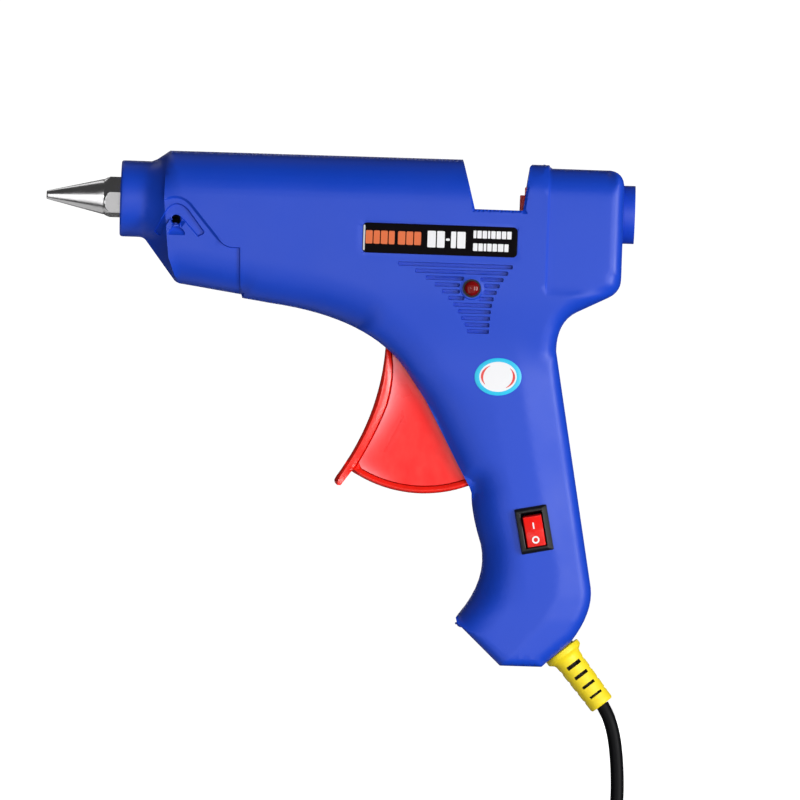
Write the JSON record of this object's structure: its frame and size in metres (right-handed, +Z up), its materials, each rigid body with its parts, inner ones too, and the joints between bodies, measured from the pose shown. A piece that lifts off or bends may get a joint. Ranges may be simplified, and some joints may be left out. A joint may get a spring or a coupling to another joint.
{
  "type": "glue gun",
  "caption": "Hot melt glue gun with a moulded casing, metal nozzle, sprung trigger that feeds the stick, rocker switch and mains lead with plug.",
  "frame": {"origin": "middle of the grip, on the plane where the two shells meet, where a hand holds the tool", "axes": "+X along the barrel towards the stick inlet, the nozzle points to -X; +Z up; +Y across, towards the screw side"},
  "size_m": [0.2033, 0.0638, 0.2379],
  "materials": {
    "casing": "satin moulded plastic",
    "nozzle_metal": "polished",
    "cast_aluminium": "cast",
    "ceramic": "matt",
    "film": "smooth film",
    "steel": "satin",
    "spring_steel": "bright drawn",
    "silicone": "matt",
    "black_plastic": "satin",
    "inlet_blue": "satin",
    "trigger_red": "gloss",
    "carriage_red": "satin",
    "lamp_red": "clear dark red",
    "board_green": "matt",
    "label_black": "smooth film",
    "sticker": "smooth film",
    "rocker_red": "gloss",
    "brass": "plain",
    "wire_brown": "smooth",
    "wire_blue": "smooth",
    "wire_white": "smooth",
    "cord_black": "satin",
    "relief_yellow": "satin",
    "tie_black": "satin",
    "plug_black": "satin",
    "plug_metal": "nickel plated"
  },
  "bodies": {
    "casing": {"left_shell": "casing", "right_shell": "casing", "nozzle": "nozzle_metal", "melt_chamber": "cast_aluminium", "ptc_heater": "ceramic", "heater_film": "film", "heater_clip": "steel", "guide_sleeve": "silicone", "sleeve_clamp": "steel", "front_bush": "black_plastic", "stick_inlet": "inlet_blue", "trigger_pin": "steel", "trigger_spring": "spring_steel", "led_lens": "lamp_red", "led_bezel": "black_plastic", "led_board": "board_green", "rating_label": "label_black", "oval_sticker": "sticker", "switch_frame": "black_plastic", "switch_terminals": "brass", "switch_leads": "wire_brown", "return_lead": "wire_blue", "heater_leads": "wire_white", "crimp_connectors": "wire_white", "cord_tail": "cord_black", "cord_clamp": "black_plastic", "clamp_screws": "steel", "case_screws": "steel", "strain_relief": "relief_yellow", "supply_cord": "cord_black", "cord_coil": "cord_black", "plug_cord": "cord_black", "cord_tie": "tie_black", "plug_body": "plug_black", "plug_pins": "plug_metal"},
    "trigger": {"trigger": "trigger_red"},
    "carriage": {"feed_carriage": "carriage_red", "drive_pin": "steel", "gripper_pin": "steel", "gripper_spring": "spring_steel"},
    "gripper": {"stick_gripper": "steel"},
    "rocker": {"switch_rocker": "rocker_red"}
  },
  "joints": [
    {"name": "trigger_swing", "type": "hinge", "parent": "casing", "child": "trigger", "pos_m": [-0.0346, 0, 0.0372], "axis": [0, -1, 0], "range_deg": [0, 30], "stiffness_Nm_per_rad": 0.3, "springref_deg": -57.3},
    {"name": "carriage_feed", "type": "slide", "parent": "casing", "child": "carriage", "axis": [-1, 0, 0], "range_m": [0, 0.01394]},
    {"name": "gripper_tilt", "type": "hinge", "parent": "carriage", "child": "gripper", "pos_m": [0.0065, 0, 0.0982], "axis": [0, 1, 0], "range_deg": [0, 10], "stiffness_Nm_per_rad": 0.004, "springref_deg": -17.19},
    {"name": "switch_rock", "type": "hinge", "parent": "casing", "child": "rocker", "pos_m": [0.0047, -0.0139, -0.018], "axis": [-0.9799, 0, -0.1994], "range_deg": [0, 16]}
  ],
  "couplings": [
    {"joint": "carriage_feed", "follows": "trigger_swing", "m_per_rad": 0.026611}
  ]
}
